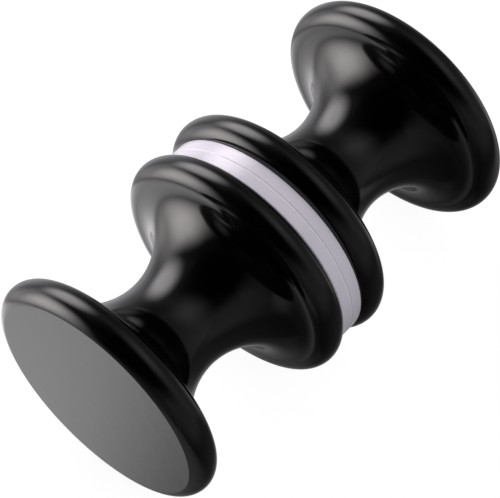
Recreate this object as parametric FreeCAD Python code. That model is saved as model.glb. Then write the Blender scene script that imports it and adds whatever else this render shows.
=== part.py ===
"""Back-to-back knob for a glass shower door.

Two equal turned knobs stand on either side of the door. A threaded stud passes through the door's hole and draws
them together, and a plastic washer under each base keeps the metal off the glass. The knobs are drawn as they are
stored, screwed together with no glass between the washers, which hang loose on the stud.

Frame: the stud's axis is Y, the front knob is towards -Y and +Z is up. The origin is on the axis, at the seam of the
washers.
"""
import FreeCAD, Part
import math
import os

# Driving dimensions of a knob, in millimetres
KNOB_DIAMETER = 30.0       # over the rims
KNOB_LENGTH = 25.0         # base face to outer face
RIM_RADIUS = 2.0           # of a rim's round section
RIM_HEIGHT = 1.56          # how far a rim stands out past the edge of its flat face
WAIST_DIAMETER = 12.2      # the grip at its narrowest

# Driving dimensions of the fixing
THREAD_DIAMETER = 6.0      # over the stud's crests
THREAD_CLEARANCE = 0.05    # radial, between the stud and the tapped holes
THREAD_ENGAGEMENT = 12.0   # stud inside each knob
HOLE_RUNOUT = 3.0          # full bore past the stud's end
HOLE_MOUTH_CHAMFER = 0.5
DRILL_POINT_ANGLE = 118.0  # degrees, at the bottom of the hole
STUD_END_CHAMFER = 0.8

# Driving dimensions of a washer
WASHER_DIAMETER = 27.9
WASHER_THICKNESS = 1.6
WASHER_BORE_CLEARANCE = 0.6  # radial, round the stud
WASHER_SEAT_GAP = 0.05       # left between the stud and the top of the bore that hangs on it
WASHER_EDGE_BREAK = 0.12     # chamfer on the outer and inner corners

# Derived sizes of a knob
FACE_RADIUS = KNOB_DIAMETER / 2 - RIM_HEIGHT
FLARE_RADIUS = KNOB_DIAMETER / 2 - RIM_RADIUS  # where a rim turns square to the axis and rolls into the grip
CREST_DEPTH = math.sqrt(RIM_RADIUS ** 2 - (RIM_RADIUS - RIM_HEIGHT) ** 2)  # of a rim's widest place, from its face
FLARE_DEPTH = CREST_DEPTH + RIM_RADIUS  # of the grip's start, from the same face

# Derived size of the fixing
WASHER_DROP = WASHER_BORE_CLEARANCE - WASHER_SEAT_GAP  # a loose washer hangs this far below the axis

# Sides of the door, as the way that a piece's axial distance runs along Y
FRONT = -1
REAR = 1


def point(radius, axial):
    """A point of a turned profile: radius from the axis, and axial distance along it."""
    return FreeCAD.Vector(radius, axial, 0)


def line(start, end):
    """A straight edge of a profile."""
    return Part.LineSegment(start, end).toShape()


def path(points):
    """Straight edges through the points in order."""
    return [line(start, end) for start, end in zip(points, points[1:])]


def round_edge(start, crest, end):
    """A circular edge from start over the crest to end."""
    return Part.Arc(start, crest, end).toShape()


def quarter_ellipse(start, corner, end):
    """A quarter ellipse from start to end, tangent to the lines from each of them to the corner."""
    curve = Part.BezierCurve()
    curve.setPoles([start, corner, end])
    curve.setWeight(2, math.sqrt(0.5))
    return curve.toShape()


def turned(edges):
    """The solid that a closed profile sweeps about the Y axis."""
    face = Part.Face(Part.Wire(edges))
    return face.revolve(FreeCAD.Vector(0, 0, 0), FreeCAD.Vector(0, 1, 0), 360)


def placed(shape, side, offset, drop=0.0):
    """A piece put on one side of the door.

    offset is where the zero of its axial distance lies from the seam, and drop is how far it hangs below the axis.
    """
    if side == FRONT:
        shape.rotate(FreeCAD.Vector(0, 0, 0), FreeCAD.Vector(1, 0, 0), 180)
    shape.translate(FreeCAD.Vector(0, side * offset, -drop))
    return shape


def rim(axial_face, inward):
    """The round rim of a flange, from the edge of its flat face over the crest to the start of the grip.

    axial_face is where the flat face lies, and inward is the way along the axis towards the grip.
    """
    return round_edge(
        point(FACE_RADIUS, axial_face),
        point(KNOB_DIAMETER / 2, axial_face + inward * CREST_DEPTH),
        point(FLARE_RADIUS, axial_face + inward * FLARE_DEPTH),
    )


def trumpet(axial_start):
    """Half of the grip: it leaves a rim square to the axis and flares down to the waist, parallel to the axis."""
    waist_radius = WAIST_DIAMETER / 2
    return quarter_ellipse(
        point(FLARE_RADIUS, axial_start),
        point(waist_radius, axial_start),
        point(waist_radius, KNOB_LENGTH / 2),
    )


def tapped_hole():
    """The blind hole in a knob's base, from the middle of its drill point out to the edge of its mouth."""
    radius = THREAD_DIAMETER / 2 + THREAD_CLEARANCE
    depth = THREAD_ENGAGEMENT + HOLE_RUNOUT
    tip = depth + radius / math.tan(math.radians(DRILL_POINT_ANGLE / 2))
    return [
        point(0, tip),
        point(radius, depth),
        point(radius, HOLE_MOUTH_CHAMFER),
        point(radius + HOLE_MOUTH_CHAMFER, 0),
    ]


def knob():
    """One turned knob, its base face at zero and its outer face at the knob's length."""
    hole = tapped_hole()
    base_face = path(hole + [point(FACE_RADIUS, 0)])
    grip = [trumpet(FLARE_DEPTH), trumpet(KNOB_LENGTH - FLARE_DEPTH)]
    rims = [rim(0, 1), rim(KNOB_LENGTH, -1)]
    outer_face = path([point(FACE_RADIUS, KNOB_LENGTH), point(0, KNOB_LENGTH), hole[0]])
    return turned(Part.sortEdges(base_face + grip + rims + outer_face)[0])


def washer():
    """One flat washer, from zero to its thickness, with every corner broken."""
    outer = WASHER_DIAMETER / 2
    inner = THREAD_DIAMETER / 2 + WASHER_BORE_CLEARANCE
    brk = WASHER_EDGE_BREAK
    top = WASHER_THICKNESS
    corners = [
        point(inner + brk, 0),
        point(outer - brk, 0),
        point(outer, brk),
        point(outer, top - brk),
        point(outer - brk, top),
        point(inner + brk, top),
        point(inner, top - brk),
        point(inner, brk),
    ]
    return turned(path(corners + corners[:1]))


def stud():
    """The headless stud, centred on the seam, as thick as its thread is over the crests."""
    radius = THREAD_DIAMETER / 2
    half_length = WASHER_THICKNESS + THREAD_ENGAGEMENT
    end_radius = radius - STUD_END_CHAMFER
    shoulder = half_length - STUD_END_CHAMFER
    outline = [
        point(0, -half_length),
        point(end_radius, -half_length),
        point(radius, -shoulder),
        point(radius, shoulder),
        point(end_radius, half_length),
        point(0, half_length),
    ]
    return turned(path(outline + outline[:1]))


def main():
    """Write every piece in its place."""
    pieces = {
        "front_knob": placed(knob(), FRONT, WASHER_THICKNESS),
        "rear_knob": placed(knob(), REAR, WASHER_THICKNESS),
        "front_washer": placed(washer(), FRONT, 0, WASHER_DROP),
        "rear_washer": placed(washer(), REAR, 0, WASHER_DROP),
        "threaded_stud": stud(),
    }
    os.makedirs("parts", exist_ok=True)
    for name, shape in pieces.items():
        shape.exportStep("parts/" + name + ".step")
        print(name, "valid", shape.isValid(), "solids", len(shape.Solids), "volume", round(shape.Volume, 2))


main()
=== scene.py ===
"""Portrait of a back-to-back knob for a glass shower door.

Two turned knobs in a smooth black coat lie screwed together on one stud, with two milky plastic washers face
to face between them. Every piece is a turned surface about the Y axis, worked out in millimetres in the frame
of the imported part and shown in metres.
"""

import logging
import math
from abc import ABC, abstractmethod
from dataclasses import dataclass
from enum import Enum
from typing import Mapping, Optional, Sequence, Tuple, Union

import bpy
import numpy as np
from mathutils import Matrix, Vector


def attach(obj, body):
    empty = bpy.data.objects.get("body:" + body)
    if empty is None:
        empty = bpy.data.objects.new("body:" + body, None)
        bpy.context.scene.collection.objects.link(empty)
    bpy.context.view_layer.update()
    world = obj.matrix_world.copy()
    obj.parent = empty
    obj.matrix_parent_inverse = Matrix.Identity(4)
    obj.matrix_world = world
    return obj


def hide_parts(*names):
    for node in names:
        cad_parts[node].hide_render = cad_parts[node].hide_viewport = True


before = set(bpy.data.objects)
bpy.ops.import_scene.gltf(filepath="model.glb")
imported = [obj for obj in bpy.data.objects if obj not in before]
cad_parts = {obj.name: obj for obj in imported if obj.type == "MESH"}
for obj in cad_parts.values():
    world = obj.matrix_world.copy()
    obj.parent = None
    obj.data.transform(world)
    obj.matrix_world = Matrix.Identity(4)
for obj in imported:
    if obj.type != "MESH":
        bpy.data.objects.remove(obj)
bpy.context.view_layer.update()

MM = 0.001
BODY = "root"
WHITE = (1.0, 1.0, 1.0, 1.0)
NOISE_MIDDLE = 0.5
log = logging.getLogger("shower_door_handle")

Colour = Tuple[float, float, float]
Factors = Tuple[float, float, float]


class Side(Enum):
    """The side of the door that a piece stands on, as the way its axial distance runs along Y."""

    FRONT = -1
    REAR = 1


class Slot(Enum):
    """The material slots of the record."""

    BLACK_COAT = "black_coat"
    WASHER_PLASTIC = "washer_plastic"
    STUD_STEEL = "stud_steel"


@dataclass(frozen=True)
class Mottle:
    """A soft random pattern: its lumps to a metre, and how many finer layers are added to them."""

    scale: float
    detail: float


class Value:
    """One number from a shader socket. Python arithmetic on it adds Math nodes to its graph."""

    def __init__(self, graph: "Graph", socket: bpy.types.NodeSocket) -> None:
        """Keeps the graph and the socket that gives the number."""
        self.graph = graph
        self.socket = socket

    def __add__(self, other: "Operand") -> "Value":
        """This number plus another."""
        return self.graph.maths("ADD", self, other)

    def __radd__(self, other: "Operand") -> "Value":
        """Another number plus this one."""
        return self.graph.maths("ADD", other, self)

    def __sub__(self, other: "Operand") -> "Value":
        """This number less another."""
        return self.graph.maths("SUBTRACT", self, other)

    def __rsub__(self, other: "Operand") -> "Value":
        """Another number less this one."""
        return self.graph.maths("SUBTRACT", other, self)

    def __mul__(self, other: "Operand") -> "Value":
        """This number times another."""
        return self.graph.maths("MULTIPLY", self, other)

    def __rmul__(self, other: "Operand") -> "Value":
        """Another number times this one."""
        return self.graph.maths("MULTIPLY", other, self)

    def __pow__(self, other: "Operand") -> "Value":
        """This number to the power of another."""
        return self.graph.maths("POWER", self, other)

    def __rpow__(self, other: "Operand") -> "Value":
        """Another number to the power of this one."""
        return self.graph.maths("POWER", other, self)

    def __abs__(self) -> "Value":
        """The size of this number, without its sign."""
        return self.graph.maths("ABSOLUTE", self)

    def swing(self, reach: float) -> "Value":
        """How far this number is from the middle of a noise, times a reach."""
        return (self - NOISE_MIDDLE) * reach

    def eased(self, low: float, high: float) -> "Value":
        """Goes smoothly from 0 where this number is low to 1 where it is high.

        Args:
            low: The number that gives 0. It may be the larger of the two.
            high: The number that gives 1.

        Returns:
            The eased number.
        """
        turned_round = low > high
        made = self.graph.node(
            "ShaderNodeMapRange",
            {"interpolation_type": "SMOOTHSTEP"},
            {
                "Value": self,
                "From Min": min(low, high),
                "From Max": max(low, high),
                "To Min": 1.0 if turned_round else 0.0,
                "To Max": 0.0 if turned_round else 1.0,
            },
        )
        return Value(self.graph, made.outputs["Result"])


Operand = Union[Value, float, int]
Feed = Union[Value, bpy.types.NodeSocket, float, int, Sequence[float]]


class Graph:
    """The shader nodes of one material or of the world."""

    def __init__(self, tree: bpy.types.NodeTree) -> None:
        """Starts from an empty node tree."""
        self.tree = tree
        tree.nodes.clear()

    def node(
        self,
        kind: str,
        settings: Optional[Mapping[str, object]] = None,
        inputs: Optional[Mapping[Union[str, int], Feed]] = None,
    ) -> bpy.types.Node:
        """Adds a node.

        Args:
            kind: The node's type.
            settings: Its own settings, which are set before its sockets.
            inputs: What each input socket gets, by name or number: a value, a socket to link, or a constant.

        Returns:
            The new node.
        """
        made = self.tree.nodes.new(kind)
        for name, setting in (settings or {}).items():
            setattr(made, name, setting)
        for key, feed in (inputs or {}).items():
            source = feed.socket if isinstance(feed, Value) else feed
            if isinstance(source, bpy.types.NodeSocket):
                self.tree.links.new(source, made.inputs[key])
            else:
                made.inputs[key].default_value = source
        return made

    def maths(self, operation: str, *operands: Operand) -> Value:
        """Adds a Math node and gives its result."""
        made = self.node("ShaderNodeMath", {"operation": operation}, dict(enumerate(operands)))
        return Value(self, made.outputs[0])

    def vector(self, operation: str, *operands: Feed) -> bpy.types.Node:
        """Adds a Vector Math node."""
        return self.node("ShaderNodeVectorMath", {"operation": operation}, dict(enumerate(operands)))

    def scaled(self, vector: Feed, factor: Value) -> bpy.types.NodeSocket:
        """A vector or colour times a number."""
        made = self.node("ShaderNodeVectorMath", {"operation": "SCALE"}, {0: vector, "Scale": factor})
        return made.outputs["Vector"]

    def stretched(self, vector: bpy.types.NodeSocket, factors: Factors) -> bpy.types.NodeSocket:
        """A vector with each of its parts times a factor of its own."""
        return self.vector("MULTIPLY", vector, factors).outputs["Vector"]

    def along(self, vector: bpy.types.NodeSocket, axis: Sequence[float]) -> Value:
        """The length of a vector along an axis, times the axis's own length."""
        return Value(self, self.vector("DOT_PRODUCT", vector, tuple(axis)).outputs["Value"])

    def place(self) -> bpy.types.NodeSocket:
        """The place on a piece, in metres from its object's origin."""
        return self.node("ShaderNodeTexCoord").outputs["Object"]

    def noise(self, vector: bpy.types.NodeSocket, mottle: Mottle) -> Value:
        """Reads a soft random pattern.

        Args:
            vector: The place that it is read at.
            mottle: The pattern.

        Returns:
            A number of about 0.5, from 0 to 1.
        """
        made = self.node(
            "ShaderNodeTexNoise",
            {"noise_dimensions": "3D"},
            {"Vector": vector, "Scale": mottle.scale, "Detail": mottle.detail},
        )
        return Value(self, made.outputs["Fac"])

    def blend(self, factor: Value, low: Colour, high: Colour) -> bpy.types.NodeSocket:
        """Mixes two colours.

        Args:
            factor: 0 for the first colour, 1 for the second.
            low: The first colour.
            high: The second colour.

        Returns:
            The mixed colour's socket.
        """
        made = self.node(
            "ShaderNodeMix",
            {"data_type": "RGBA"},
            {0: factor, 6: (*low, 1.0), 7: (*high, 1.0)},
        )
        return made.outputs[2]

    def bump(self, height: Value, distance: float) -> bpy.types.NodeSocket:
        """A normal that is tilted by a height map.

        Args:
            height: The height, from 0 to 1.
            distance: What a height of 1 stands for, in metres.

        Returns:
            The normal's socket.
        """
        made = self.node("ShaderNodeBump", None, {"Strength": 1.0, "Distance": distance, "Height": height})
        return made.outputs["Normal"]

    def show(self, shader: bpy.types.Node) -> None:
        """Makes a shader the surface of the material."""
        self.node("ShaderNodeOutputMaterial", None, {"Surface": shader.outputs[0]})


def new_material(name: str) -> Tuple[bpy.types.Material, Graph]:
    """Starts a node material.

    Args:
        name: The material's name.

    Returns:
        The empty material and its graph.
    """
    material = bpy.data.materials.new(name)
    material.use_nodes = True
    return material, Graph(material.node_tree)


@dataclass(frozen=True)
class BlackCoat:
    """Smooth black paint on turned metal, glossy, with the slight waviness of a sprayed coat."""

    slot: Slot = Slot.BLACK_COAT
    deep: Colour = (0.0006, 0.0006, 0.0007)
    hazy: Colour = (0.0010, 0.0010, 0.0011)
    index: float = 1.53
    roughness: float = 0.105
    cloud: Mottle = Mottle(260.0, 3.0)
    cloud_reach: float = 0.03
    wave: Mottle = Mottle(620.0, 1.5)
    wave_height: float = 5.0e-6
    grain: Mottle = Mottle(5200.0, 2.0)
    grain_height: float = 4.0e-7
    grain_reach: float = 0.03

    def material(self) -> bpy.types.Material:
        """Makes the coat: mottled black, cloudy gloss, a long wave and a fine grain in the normal.

        Returns:
            The new material.
        """
        material, graph = new_material("black_coat_gloss")
        place = graph.place()
        cloud = graph.noise(place, self.cloud)
        wave = graph.noise(place, self.wave)
        grain = graph.noise(place, self.grain)
        height = wave + grain * (self.grain_height / self.wave_height)
        shader = graph.node(
            "ShaderNodeBsdfPrincipled",
            None,
            {
                "Base Color": graph.blend(cloud, self.deep, self.hazy),
                "Roughness": cloud.swing(self.cloud_reach) + grain.swing(self.grain_reach) + self.roughness,
                "Metallic": 0.0,
                "IOR": self.index,
                "Normal": graph.bump(height, self.wave_height),
            },
        )
        graph.show(shader)
        return material


@dataclass(frozen=True)
class MilkyPlastic:
    """Milky plastic with a cool lilac cast and the fine turned lines of a cut rim.

    A narrow band just in front of the seam, at the rear corner of the front washer, is a painted highlight:
    its colour is made paler where that corner catches the light.
    """

    slot: Slot = Slot.WASHER_PLASTIC
    shade: Colour = (0.768, 0.727, 0.826)
    light: Colour = (0.810, 0.774, 0.872)
    index: float = 1.7
    roughness: float = 0.13
    lines: Mottle = Mottle(4200.0, 2.0)
    line_stretch: Factors = (0.012, 1.0, 0.012)
    line_height: float = 3.0e-6
    line_reach: float = 0.06
    line_share: float = 0.6
    cloud: Mottle = Mottle(420.0, 2.0)
    scatter: float = 0.15
    scatter_radius: float = 1.2 * MM
    scatter_tint: Colour = (1.0, 0.9, 1.0)
    painted_highlight_width: float = 0.2 * MM
    painted_highlight_edge: float = 0.04 * MM
    painted_highlight_gain: float = 0.15

    def material(self) -> bpy.types.Material:
        """Makes the plastic: lines that run round the rim tint it, roughen it and tilt its normal, and a
        painted highlight makes a thin band by the seam paler.

        Returns:
            The new material.
        """
        material, graph = new_material("milky_washer_plastic")
        place = graph.place()
        lines = graph.noise(graph.stretched(place, self.line_stretch), self.lines)
        cloud = graph.noise(place, self.cloud)
        mixed = lines * self.line_share + cloud * (1.0 - self.line_share)
        tone = graph.blend(mixed, self.shade, self.light)
        # Painted highlight: the base colour is made paler in a thin band just in front of the seam, on the
        # front washer's rear corner.
        ahead = graph.along(place, (0.0, -1.0, 0.0))
        painted_highlight = ahead.eased(-self.painted_highlight_edge, 0.0)
        painted_highlight *= ahead.eased(self.painted_highlight_width + self.painted_highlight_edge, self.painted_highlight_width)
        shader = graph.node(
            "ShaderNodeBsdfPrincipled",
            None,
            {
                "Base Color": graph.scaled(tone, painted_highlight * self.painted_highlight_gain + 1.0),
                "Roughness": lines.swing(self.line_reach) + self.roughness,
                "Metallic": 0.0,
                "IOR": self.index,
                "Subsurface Weight": self.scatter,
                "Subsurface Radius": self.scatter_tint,
                "Subsurface Scale": self.scatter_radius,
                "Normal": graph.bump(lines, self.line_height),
            },
        )
        graph.show(shader)
        return material


@dataclass(frozen=True)
class ZincSteel:
    """Bright zinc on a rolled steel thread."""

    slot: Slot = Slot.STUD_STEEL
    dull: Colour = (0.42, 0.43, 0.45)
    bright: Colour = (0.62, 0.63, 0.64)
    roughness: float = 0.26
    streaks: Mottle = Mottle(6000.0, 2.0)
    streak_stretch: Factors = (0.1, 1.0, 0.1)
    streak_height: float = 2.0e-6
    streak_reach: float = 0.15
    cloud: Mottle = Mottle(700.0, 3.0)
    cloud_reach: float = 0.1
    cloud_share: float = 0.7

    def material(self) -> bpy.types.Material:
        """Makes the metal: cloudy zinc with drawn streaks round the thread.

        Returns:
            The new material.
        """
        material, graph = new_material("zinc_plated_thread")
        place = graph.place()
        streaks = graph.noise(graph.stretched(place, self.streak_stretch), self.streaks)
        cloud = graph.noise(place, self.cloud)
        mixed = cloud * self.cloud_share + streaks * (1.0 - self.cloud_share)
        uneven = streaks.swing(self.streak_reach) + cloud.swing(self.cloud_reach)
        shader = graph.node(
            "ShaderNodeBsdfPrincipled",
            None,
            {
                "Base Color": graph.blend(mixed, self.dull, self.bright),
                "Roughness": uneven + self.roughness,
                "Metallic": 1.0,
                "Normal": graph.bump(streaks, self.streak_height),
            },
        )
        graph.show(shader)
        return material


Finish = Union[BlackCoat, MilkyPlastic, ZincSteel]
ProfilePoint = Sequence[float]


def spaced_run(start: ProfilePoint, end: ProfilePoint, steps: int) -> np.ndarray:
    """A straight run of profile points that lie closer together towards its two ends.

    Each point is start + (end - start) (1 - cos(pi u)) / 2, with u from 0 to 1 in equal steps.

    Args:
        start: First point, as radius and axial distance.
        end: Last point.
        steps: Number of pieces between them.

    Returns:
        The points without the last one, so that runs can be chained.
    """
    share = (1.0 - np.cos(np.pi * np.arange(steps) / steps)) / 2.0
    first = np.asarray(start, dtype=float)
    return first + share[:, None] * (np.asarray(end, dtype=float) - first)


def cornered_run(corners: Sequence[ProfilePoint], steps: Sequence[int]) -> np.ndarray:
    """Straight runs from each corner to the next, chained.

    Args:
        corners: The corners, as radius and axial distance.
        steps: Number of pieces of each run, one fewer than the corners.

    Returns:
        The points without the last corner.
    """
    return np.vstack([spaced_run(*run) for run in zip(corners, corners[1:], steps)])


def ellipse_run(
    centre: ProfilePoint, axes: Sequence[float], angles: Tuple[float, float], steps: int
) -> np.ndarray:
    """A run of profile points on an ellipse.

    Each point is centre + (radial axis cos t, axial axis sin t), with t from the first angle to the last in
    equal steps.

    Args:
        centre: The ellipse's middle, as radius and axial distance.
        axes: Half its size across the radius and along the axis.
        angles: The first and the last angle, in radians.
        steps: Number of pieces between them.

    Returns:
        The points without the last one.
    """
    turn = angles[0] + (angles[1] - angles[0]) * np.arange(steps) / steps
    return np.column_stack((centre[0] + axes[0] * np.cos(turn), centre[1] + axes[1] * np.sin(turn)))


def conic_run(
    start: ProfilePoint, corner: ProfilePoint, end: ProfilePoint, fullness: float, steps: int
) -> np.ndarray:
    """A run of profile points on a conic that leaves its start and meets its end along the lines to a corner.

    Each point is the mean of start, corner and end with the weights (1 - u) ** 2, 2 f u (1 - u) and u ** 2,
    where u goes from 0 to 1 in equal steps and f is the fullness.

    Args:
        start: First point, as radius and axial distance.
        corner: Where the lines along which it starts and ends meet.
        end: Last point.
        fullness: How far the curve is drawn into the corner.
        steps: Number of pieces between the ends.

    Returns:
        The points without the last one.
    """
    share = np.arange(steps)[:, None] / steps
    weights = np.hstack(((1.0 - share) ** 2, 2.0 * fullness * share * (1.0 - share), share ** 2))
    return weights @ np.array((start, corner, end)) / weights.sum(axis=1, keepdims=True)


@dataclass(frozen=True)
class TurnedSurface:
    """Points and faces of a surface that closes on itself round the Y axis."""

    points: np.ndarray
    faces: Tuple[np.ndarray, ...]

    @staticmethod
    def rings(radius: np.ndarray, axial: np.ndarray) -> np.ndarray:
        """Carries profiles round the Y axis.

        The point of row i and column j is (r cos t, y, r sin t), with t = 2 pi j / columns.

        Args:
            radius: Radius of each row and column.
            axial: Place along Y of each row and column, or of each row alone as a single column.

        Returns:
            The points, row by row.
        """
        turn = 2.0 * np.pi * np.arange(radius.shape[1]) / radius.shape[1]
        wide = np.broadcast_to(axial, radius.shape)
        return np.stack((radius * np.cos(turn), wide, radius * np.sin(turn)), axis=-1).reshape(-1, 3)

    @staticmethod
    def quads(rows: int, columns: int, looped: bool) -> np.ndarray:
        """Faces between neighbouring rows and columns.

        Args:
            rows: Number of rings.
            columns: Points on each ring.
            looped: True where the last ring joins the first.

        Returns:
            Four point numbers for each face.
        """
        ring = np.arange(rows if looped else rows - 1)[:, None]
        place = np.arange(columns)[None, :]
        here, ahead = ring * columns, (ring + 1) % rows * columns
        beside = (place + 1) % columns
        return np.stack((here + place, here + beside, ahead + beside, ahead + place), axis=-1).reshape(-1, 4)

    @classmethod
    def from_loop(cls, profile: np.ndarray, columns: int) -> "TurnedSurface":
        """Turns a closed profile that stays clear of the axis into a ring.

        Args:
            profile: Rows of radius and Y, without the first row repeated at the end.
            columns: Points on each ring.

        Returns:
            The closed surface.
        """
        radius = np.repeat(profile[:, :1], columns, axis=1)
        points = cls.rings(radius, profile[:, 1:])
        return cls(points, (cls.quads(len(profile), columns, True),))

    @classmethod
    def from_poles(cls, first: float, radius: np.ndarray, axial: np.ndarray, last: float) -> "TurnedSurface":
        """Turns rows that start and end on the axis into a closed body.

        A single point on the axis closes each end with a fan of triangles.

        Args:
            first: Y of the point on the axis before the first row.
            radius: Radius of each row and column.
            axial: Y of each row and column, or of each row alone.
            last: Y of the point on the axis after the last row.

        Returns:
            The closed surface.
        """
        rows, columns = radius.shape
        body = cls.rings(radius, axial)
        points = np.vstack((body, [[0.0, first, 0.0], [0.0, last, 0.0]]))
        place = np.arange(columns)
        beside = (place + 1) % columns
        base = (rows - 1) * columns
        start = np.column_stack((np.full(columns, rows * columns), beside, place))
        end = np.column_stack((np.full(columns, rows * columns + 1), base + place, base + beside))
        return cls(points, (cls.quads(rows, columns, False), start, end))

    def lowered(self, drop: float) -> "TurnedSurface":
        """The same surface, further down by a distance."""
        return TurnedSurface(self.points - (0.0, 0.0, drop), self.faces)

    def outward(self) -> "TurnedSurface":
        """The same surface with its faces turned to point outwards.

        The volume is a sixth of the sum of a . (b x c) over the fan triangles of every face, and is negative
        where the faces point inwards.

        Returns:
            This surface, or one with each face's points in the other order.
        """
        fans = [part[:, [0, i, i + 1]] for part in self.faces for i in range(1, part.shape[1] - 1)]
        a, b, c = np.moveaxis(self.points[np.vstack(fans)], 1, 0)
        if np.einsum("ij,ij->", a, np.cross(b, c)) > 0.0:
            return self
        return TurnedSurface(self.points, tuple(part[:, ::-1] for part in self.faces))

    def to_object(self, name: str) -> bpy.types.Object:
        """Puts the surface, given in millimetres, into a smooth-shaded mesh object at the origin.

        Args:
            name: The object's name.

        Returns:
            The object, linked to the scene.
        """
        solid = self.outward()
        mesh = bpy.data.meshes.new(name)
        faces = [corner for part in solid.faces for corner in part.tolist()]
        mesh.from_pydata((solid.points * MM).tolist(), [], faces)
        mesh.polygons.foreach_set("use_smooth", np.ones(len(mesh.polygons), dtype=bool))
        mesh.update()
        made = bpy.data.objects.new(name, mesh)
        bpy.context.scene.collection.objects.link(made)
        return made


class HandlePiece(ABC):
    """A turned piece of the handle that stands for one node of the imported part. Sizes are in millimetres."""

    @abstractmethod
    def node(self) -> str:
        """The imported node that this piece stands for."""

    @abstractmethod
    def surface(self) -> TurnedSurface:
        """The piece's surface."""

    def build(self, name: str) -> bpy.types.Object:
        """Makes the piece and puts it on the body in place of its node.

        Args:
            name: The new object's name.

        Returns:
            The new object.
        """
        made = self.surface().to_object(name)
        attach(made, BODY)
        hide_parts(self.node())
        return made

    @staticmethod
    def dress(made: bpy.types.Object, finish: Finish, material: bpy.types.Material) -> None:
        """Gives a piece its material."""
        made.data.materials.append(material)


@dataclass
class Knob(HandlePiece):
    """One spool-shaped knob: two flanges with rounded rims, and a waisted grip that flares into them."""

    side: Side
    diameter: float = 30.0
    length: float = 25.0
    rim_height: float = 1.56
    rim_radius: float = 2.0
    waist_diameter: float = 12.2
    grip_fullness: float = 0.65
    offset: float = 1.6
    hole_radius: float = 3.05
    hole_depth: float = 15.0
    hole_mouth: float = 0.5
    drill_point: float = 118.0
    columns: int = 224
    hole_steps: Tuple[int, ...] = (6, 10, 4, 18)
    rim_steps: int = 80
    flare_steps: int = 72
    face_steps: int = 28

    def node(self) -> str:
        """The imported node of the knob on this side."""
        return self.side.name.lower() + "_knob"

    def crest_depth(self) -> float:
        """How far the rim's widest place lies below its flat face, by the right triangle in its section."""
        return math.sqrt(self.rim_radius ** 2 - (self.rim_radius - self.rim_height) ** 2)

    def rim(self) -> np.ndarray:
        """Profile of the base flange's rim, from its flat face to where it turns square to the axis.

        The rim is the arc of a circle whose centre lies its own radius inside the knob's diameter.

        Returns:
            Rows of radius and axial distance, without the flare's first point.
        """
        crest = self.crest_depth()
        first = -math.asin(crest / self.rim_radius)
        centre = (self.diameter / 2 - self.rim_radius, crest)
        return ellipse_run(centre, (self.rim_radius, self.rim_radius), (first, 0.5 * np.pi), self.rim_steps)

    def flare(self) -> np.ndarray:
        """Profile of half of the grip, from the base flange to just before the waist.

        It is a conic that takes over from the rim where both are square to the axis, and is parallel to the
        axis at the waist.

        Returns:
            Rows of radius and axial distance.
        """
        wide, narrow = self.diameter / 2 - self.rim_radius, self.waist_diameter / 2
        first, middle = self.crest_depth() + self.rim_radius, self.length / 2
        corner = (narrow, first)
        return conic_run((wide, first), corner, (narrow, middle), self.grip_fullness, self.flare_steps)

    def surface(self) -> TurnedSurface:
        """The knob's surface, from the tip of its tapped hole round to the middle of its outer face.

        The far half of the outside is the near half mirrored in the waist: axial becomes length - axial, in
        reverse.

        Returns:
            The closed surface.
        """
        edge = self.diameter / 2 - self.rim_height
        tip = self.hole_depth + self.hole_radius / math.tan(math.radians(self.drill_point / 2))
        corners = [
            (0.0, tip),
            (self.hole_radius, self.hole_depth),
            (self.hole_radius, self.hole_mouth),
            (self.hole_radius + self.hole_mouth, 0.0),
            (edge, 0.0),
        ]
        hole = cornered_run(corners, self.hole_steps)
        near = np.vstack((self.rim(), self.flare()))
        waist = np.array([[self.waist_diameter / 2, self.length / 2]])
        far = near[::-1] * (1.0, -1.0) + (0.0, self.length)
        face = spaced_run((edge, self.length), (0.0, self.length), self.face_steps)
        profile = np.vstack((hole[1:], near, waist, far, face[1:]))
        axial = self.side.value * (self.offset + profile[:, 1:])
        radius = np.repeat(profile[:, :1], self.columns, axis=1)
        ends = (self.side.value * (self.offset + tip), self.side.value * (self.offset + self.length))
        return TurnedSurface.from_poles(ends[0], radius, axial, ends[1])


@dataclass
class Washer(HandlePiece):
    """One flat plastic washer with broken corners, which hangs loose on the stud."""

    side: Side
    diameter: float = 27.9
    thickness: float = 1.6
    bore_radius: float = 3.6
    drop: float = 0.55
    edge_break: float = 0.065
    columns: int = 224
    steps: Tuple[int, ...] = (16, 4, 10, 4, 16, 3, 6, 3)

    def node(self) -> str:
        """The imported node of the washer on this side."""
        return self.side.name.lower() + "_washer"

    def surface(self) -> TurnedSurface:
        """The washer's surface: an eight-cornered profile carried round an axis that lies below the stud's.

        Returns:
            The closed surface.
        """
        outer, inner, cut, top = self.diameter / 2, self.bore_radius, self.edge_break, self.thickness
        corners = [
            (inner + cut, 0.0),
            (outer - cut, 0.0),
            (outer, cut),
            (outer, top - cut),
            (outer - cut, top),
            (inner + cut, top),
            (inner, top - cut),
            (inner, cut),
        ]
        profile = cornered_run(corners + corners[:1], self.steps) * (1.0, self.side.value)
        return TurnedSurface.from_loop(profile, self.columns).lowered(self.drop)


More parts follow.
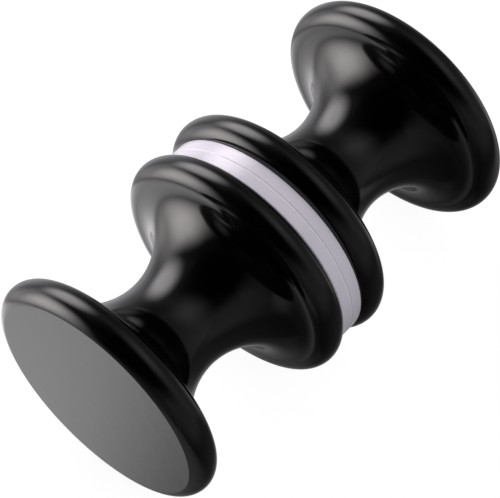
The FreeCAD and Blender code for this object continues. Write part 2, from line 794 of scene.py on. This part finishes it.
@dataclass
class Stud(HandlePiece):
    """The headless stud, with its rolled thread."""

    major_radius: float = 3.0
    minor_radius: float = 2.4
    pitch: float = 1.0
    flank_slope: float = 1.2
    crest_flat: float = 0.1
    half_length: float = 13.6
    end_chamfer: float = 0.8
    rows_per_turn: int = 12
    columns: int = 72

    def node(self) -> str:
        """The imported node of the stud."""
        return "threaded_stud"

    def surface(self) -> TurnedSurface:
        """The thread as one function of the axial place y and the angle t.

        With s = y / pitch - t / 2 pi, the depth below the crest is the distance of s from its nearest whole
        number, doubled, times the flank's slope, less the crest's flat, and clipped between crest and root.
        The radius is also held inside each end's chamfer.

        Returns:
            The closed surface.
        """
        rows = int(2 * self.half_length / self.pitch * self.rows_per_turn) + 1
        axial = np.linspace(-self.half_length, self.half_length, rows)[:, None]
        turn = np.arange(self.columns)[None, :] / self.columns
        phase = axial / self.pitch - turn
        away = np.abs(phase - np.round(phase)) * 2.0
        depth = np.clip(away * self.flank_slope - self.crest_flat, 0.0, 1.0)
        radius = self.major_radius - depth * (self.major_radius - self.minor_radius)
        chamfer = self.major_radius - self.end_chamfer + (self.half_length - np.abs(axial))
        radius = np.minimum(radius, chamfer)
        return TurnedSurface.from_poles(-self.half_length, radius, axial, self.half_length)


def sky(azimuth: float, elevation: float) -> Tuple[np.ndarray, np.ndarray, np.ndarray]:
    """The unit vectors of a direction from the object.

    Args:
        azimuth: Degrees from -Y towards +X.
        elevation: Degrees above the horizon.

    Returns:
        The direction, the level direction across it, and the direction that rises from it.
    """
    a, e = math.radians(azimuth), math.radians(elevation)
    ahead = np.array((math.sin(a) * math.cos(e), -math.cos(a) * math.cos(e), math.sin(e)))
    across = np.array((math.cos(a), math.sin(a), 0.0))
    return ahead, across, np.cross(ahead, across)


def flat_sheet(
    name: str, middle: Sequence[float], half_size: Sequence[float], level: float, unseen_by: Sequence[str]
) -> bpy.types.Object:
    """Lays a level four-cornered sheet, with sizes in millimetres.

    Args:
        name: The sheet's name.
        middle: X and Y of its middle.
        half_size: Half its size along X and along Y.
        level: Its height.
        unseen_by: The kinds of ray that pass it by.

    Returns:
        The sheet, linked to the scene.
    """
    corners = np.array([(-1, -1), (1, -1), (1, 1), (-1, 1)]) * half_size + middle
    points = np.column_stack((corners, np.full(len(corners), level))) * MM
    mesh = bpy.data.meshes.new(name)
    mesh.from_pydata(points.tolist(), [], [(0, 1, 2, 3)])
    made = bpy.data.objects.new(name, mesh)
    for ray in unseen_by:
        setattr(made, "visible_" + ray, False)
    bpy.context.scene.collection.objects.link(made)
    return made


@dataclass(frozen=True)
class SoftPanel:
    """A soft-edged patch of light on the studio's dome. Angles are in degrees.

    Its edge is the curve |u| ** n + |v| ** n = 1, with u and v the sines of the angles across and up from its
    middle, each divided by the sine of half the panel's size, and n its squareness: 2 gives an ellipse.
    """

    azimuth: float
    elevation: float
    half_width: float
    half_height: float
    softness: float
    squareness: float
    brightness: float
    tint: Colour
    roll: float = 0.0
    half_dome: Tuple[float, float] = (-0.02, 0.08)

    def radiance(self) -> Colour:
        """The panel's light as a colour."""
        return tuple(self.brightness * part for part in self.tint)

    def mask(self, graph: Graph, direction: bpy.types.NodeSocket) -> Value:
        """How much of the panel is seen in a direction, on the panel's own half of the dome.

        Args:
            graph: The world's graph.
            direction: The ray's direction.

        Returns:
            1 inside the panel, 0 outside, eased over its soft edge.
        """
        ahead, level, upright = sky(self.azimuth, self.elevation)
        tilt = math.radians(self.roll)
        across = level * math.cos(tilt) + upright * math.sin(tilt)
        rising = upright * math.cos(tilt) - level * math.sin(tilt)
        u = abs(graph.along(direction, across / math.sin(math.radians(self.half_width))))
        v = abs(graph.along(direction, rising / math.sin(math.radians(self.half_height))))
        spread = (u ** self.squareness + v ** self.squareness) ** (1.0 / self.squareness)
        near_side = graph.along(direction, ahead).eased(*self.half_dome)
        return spread.eased(1.0 + self.softness, 1.0 - self.softness) * near_side


@dataclass(frozen=True)
class FillLamp:
    """A broad weak lamp for the light of the white room. Angles are in degrees.

    The room lights pale plastic from all round but is too even to draw a highlight, so no glossy ray sees it.
    """

    name: str
    azimuth: float
    elevation: float
    strength: float
    spread: float = 70.0

    def hang(self) -> bpy.types.Object:
        """Makes the lamp, which shines from its direction towards the object.

        Returns:
            The lamp.
        """
        lamp = bpy.data.lights.new(self.name, "SUN")
        lamp.energy = self.strength
        lamp.angle = math.radians(self.spread)
        back, across, rising = sky(self.azimuth, self.elevation)
        made = bpy.data.objects.new(self.name, lamp)
        made.matrix_world = Matrix((across, rising, back)).transposed().to_4x4()
        made.visible_glossy = False
        bpy.context.scene.collection.objects.link(made)
        return made


@dataclass(frozen=True)
class PaperGlow:
    """A soft round of lit paper beside the handle, clear of its shadow, that only its gloss picks up.

    Sizes are in millimetres. The light is brightest in the middle and has gone at the edge of an ellipse,
    where (x / half_width) ** 2 + (y / half_depth) ** 2 = 1, with x and y from its middle.
    """

    name: str
    x: float
    y: float
    half_width: float
    half_depth: float
    brightness: float

    def material(self) -> bpy.types.Material:
        """Makes clear paper with light added to it.

        Returns:
            The new material.
        """
        material, graph = new_material(self.name + "_light")
        place = graph.place()
        aside = graph.along(place, (1.0 / (self.half_width * MM), 0.0, 0.0)) - self.x / self.half_width
        along = graph.along(place, (0.0, 1.0 / (self.half_depth * MM), 0.0)) - self.y / self.half_depth
        soft = (aside ** 2.0 + along ** 2.0).eased(1.0, 0.0)
        clear = graph.node("ShaderNodeBsdfTransparent")
        shine = {"Color": graph.scaled(WHITE[:3], soft), "Strength": self.brightness}
        lit = graph.node("ShaderNodeEmission", None, shine)
        graph.show(graph.node("ShaderNodeAddShader", None, {0: clear.outputs[0], 1: lit.outputs[0]}))
        material.cycles.emission_sampling = "NONE"
        return material

    def lay(self, level: float) -> bpy.types.Object:
        """Lays the glow flat.

        Args:
            level: Its height, in millimetres.

        Returns:
            The glow.
        """
        unseen_by = ("camera", "diffuse", "transmission", "shadow")
        made = flat_sheet(self.name, (self.x, self.y), (self.half_width, self.half_depth), level, unseen_by)
        made.data.materials.append(self.material())
        return made


class Studio:
    """Plain soft studio: a dome with two lamps, dim cards and a white sweep, two fill lamps and a pale floor.

    Two soft rounds of lit paper on the floor stand in for what the gloss picks up from it.
    """

    DAYLIGHT: Colour = (1.0, 0.965, 0.985)
    WARM: Colour = (1.0, 0.945, 0.935)
    COOL: Colour = (0.985, 0.955, 1.0)
    PANELS: Mapping[str, SoftPanel] = {
        "left lamp": SoftPanel(-104.0, 31.5, 19.5, 20.0, 0.60, 2.1, 4.43, DAYLIGHT),
        "front lamp": SoftPanel(-51.0, -1.0, 18.0, 20.0, 0.78, 2.1, 4.10, WARM, roll=10.0),
        "front lamp's spill": SoftPanel(-62.5, -9.5, 27.0, 26.0, 0.36, 4.7, 1.28, DAYLIGHT, roll=10.0),
        "left card": SoftPanel(-113.0, -17.0, 17.5, 33.5, 0.97, 8.0, 0.78, COOL, roll=-6.0),
        "glow on the front": SoftPanel(-25.0, -36.0, 66.0, 16.5, 0.97, 1.4, 0.175, WARM, roll=20.0),
        "glow round the sweep": SoftPanel(-56.0, -49.0, 41.5, 15.0, 0.83, 2.0, 0.245, DAYLIGHT, roll=58.0),
        "haze on the right": SoftPanel(87.0, 5.5, 47.5, 22.5, 0.55, 3.0, 0.195, COOL, roll=12.0),
        "haze on the lower right": SoftPanel(125.0, -25.0, 80.0, 44.0, 0.97, 1.6, 0.102, DAYLIGHT, roll=23.0),
        "card on the upper right": SoftPanel(130.0, 56.5, 22.5, 16.0, 0.97, 2.1, 0.43, DAYLIGHT, roll=36.0),
        "haze at the back": SoftPanel(-157.0, 51.0, 80.0, 25.5, 0.97, 8.0, 0.132, DAYLIGHT, roll=11.0),
        "sweep at the back": SoftPanel(-148.0, -22.0, 20.5, 35.0, 0.85, 1.6, 0.265, DAYLIGHT, roll=-14.0),
        "patch on the right": SoftPanel(166.0, -18.5, 13.5, 22.0, 0.47, 1.6, 0.275, DAYLIGHT, roll=40.0),
    }
    SWEEP: SoftPanel = SoftPanel(-68.0, -55.0, 25.0, 12.0, 0.27, 1.7, 1.17, DAYLIGHT, roll=22.0)
    SWEEP_WHITE: float = 0.5
    FILLS: Tuple[FillLamp, ...] = (
        FillLamp("room_fill_above", 120.0, 50.0, 0.92),
        FillLamp("room_fill_right", 78.0, 12.0, 0.42),
    )
    GLOWS: Tuple[PaperGlow, ...] = (
        PaperGlow("paper_glow_front", 18.0, -50.0, 18.0, 28.0, 0.20),
        PaperGlow("paper_glow_back", 28.0, 76.0, 19.0, 60.0, 0.32),
    )
    FLOOR_LEVEL: float = -15.0
    FLOOR_REACH: float = 1500.0
    PAPER_TOOTH: Mottle = Mottle(900.0, 3.0)
    PAPER_DARK: Colour = (0.15, 0.15, 0.15)
    PAPER_PALE: Colour = (0.16, 0.16, 0.16)
    PAPER_WHITE: float = 0.94

    def light(self) -> None:
        """Builds the dome.

        A ray that leaves the object meets the sum of the panels. The camera, and a ray that has passed
        through something clear, see plain white. A glossy ray sees a share of white where it meets the sweep.
        """
        world = bpy.data.worlds.new("studio_dome")
        bpy.context.scene.world = world
        world.use_nodes = True
        graph = Graph(world.node_tree)
        direction = graph.node("ShaderNodeTexCoord").outputs["Generated"]
        sweep = self.SWEEP.mask(graph, direction)
        total = graph.scaled(self.SWEEP.radiance(), sweep)
        for panel in self.PANELS.values():
            lit = graph.scaled(panel.radiance(), panel.mask(graph, direction))
            total = graph.vector("ADD", total, lit).outputs["Vector"]
        path = graph.node("ShaderNodeLightPath").outputs
        camera, clear, glossy = (
            Value(graph, path[name]) for name in ("Is Camera Ray", "Is Transmission Ray", "Is Glossy Ray")
        )
        seen_white = graph.maths("MAXIMUM", camera, clear)
        backdrop = graph.maths("MAXIMUM", seen_white, glossy * sweep * self.SWEEP_WHITE)
        dome = graph.node("ShaderNodeBackground", None, {"Color": total, "Strength": 1.0})
        white = graph.node("ShaderNodeBackground", None, {"Color": WHITE, "Strength": 1.0})
        seen = graph.node("ShaderNodeMixShader", None, {0: backdrop, 1: dome.outputs[0], 2: white.outputs[0]})
        graph.node("ShaderNodeOutputWorld", None, {"Surface": seen.outputs[0]})

    def paper(self) -> bpy.types.Material:
        """Makes white paper that keeps the handle's shadow and shows white to the camera where none falls.

        Returns:
            The new material.
        """
        material, graph = new_material("white_paper")
        tooth = graph.noise(graph.place(), self.PAPER_TOOTH)
        camera = Value(graph, graph.node("ShaderNodeLightPath").outputs["Is Camera Ray"])
        grey = graph.blend(tooth, self.PAPER_DARK, self.PAPER_PALE)
        matt = graph.node("ShaderNodeBsdfDiffuse", None, {"Color": grey})
        shine = {"Color": WHITE, "Strength": camera * self.PAPER_WHITE}
        bright = graph.node("ShaderNodeEmission", None, shine)
        graph.show(graph.node("ShaderNodeAddShader", None, {0: matt.outputs[0], 1: bright.outputs[0]}))
        material.cycles.emission_sampling = "NONE"
        return material

    def floor(self) -> bpy.types.Object:
        """Lays the paper level under the flanges.

        The dome already holds the light that comes up from below, so only the camera sees the paper.

        Returns:
            The floor.
        """
        half_size = (self.FLOOR_REACH, self.FLOOR_REACH)
        unseen_by = ("diffuse", "glossy", "transmission", "shadow")
        made = flat_sheet("paper_floor", (0.0, 0.0), half_size, self.FLOOR_LEVEL, unseen_by)
        made.data.materials.append(self.paper())
        return made

    def set_up(self) -> None:
        """Lights the dome, hangs the lamps and lays the floor and its glows."""
        self.light()
        for lamp in self.FILLS:
            lamp.hang()
        for glow in self.GLOWS:
            glow.lay(self.FLOOR_LEVEL)
        self.floor()


@dataclass(frozen=True)
class Portrait:
    """The camera, placed as the photograph's was. Distances are in millimetres and angles in degrees."""

    azimuth: float = 40.546
    elevation: float = 57.182
    distance: float = 271.765
    aside: float = -0.6537
    above: float = -0.6175
    lens: float = 174.47
    sensor: float = 36.0
    nearest: float = 10.0
    farthest: float = 10000.0

    def place(self) -> bpy.types.Object:
        """Makes the camera and gives it to the scene.

        Its place is distance along the back direction, plus the two small shifts across it.

        Returns:
            The camera.
        """
        back, across, rising = sky(self.azimuth, self.elevation)
        eye = (back * self.distance + across * self.aside + rising * self.above) * MM
        turn = Matrix((across, rising, back)).transposed().to_4x4()
        lens = bpy.data.cameras.new("portrait_camera")
        lens.sensor_width = self.sensor
        lens.sensor_fit = "HORIZONTAL"
        lens.lens = self.lens
        lens.clip_start = self.nearest * MM
        lens.clip_end = self.farthest * MM
        made = bpy.data.objects.new("portrait_camera", lens)
        made.matrix_world = Matrix.Translation(Vector(eye)) @ turn
        bpy.context.scene.collection.objects.link(made)
        bpy.context.scene.camera = made
        return made


def main() -> None:
    """Sets up the camera and the studio, and builds every piece of the handle in order."""
    logging.basicConfig(level=logging.INFO, format="%(name)s: %(message)s")
    bpy.context.scene.view_settings.view_transform = "Standard"
    Portrait().place()
    Studio().set_up()
    coat, plastic, zinc = BlackCoat(), MilkyPlastic(), ZincSteel()
    black, milky, plated = coat.material(), plastic.material(), zinc.material()
    plan = (
        (Knob(Side.FRONT), "front_knob_turning", coat, black),
        (Knob(Side.REAR), "rear_knob_turning", coat, black),
        (Washer(Side.FRONT), "front_washer_ring", plastic, milky),
        (Washer(Side.REAR), "rear_washer_ring", plastic, milky),
        (Stud(), "stud_thread", zinc, plated),
    )
    for piece, name, finish, material in plan:
        made = piece.build(name)
        piece.dress(made, finish, material)
        log.info("%s stands for %s with %d faces", name, piece.node(), len(made.data.polygons))


if __name__ == "__main__":
    main()
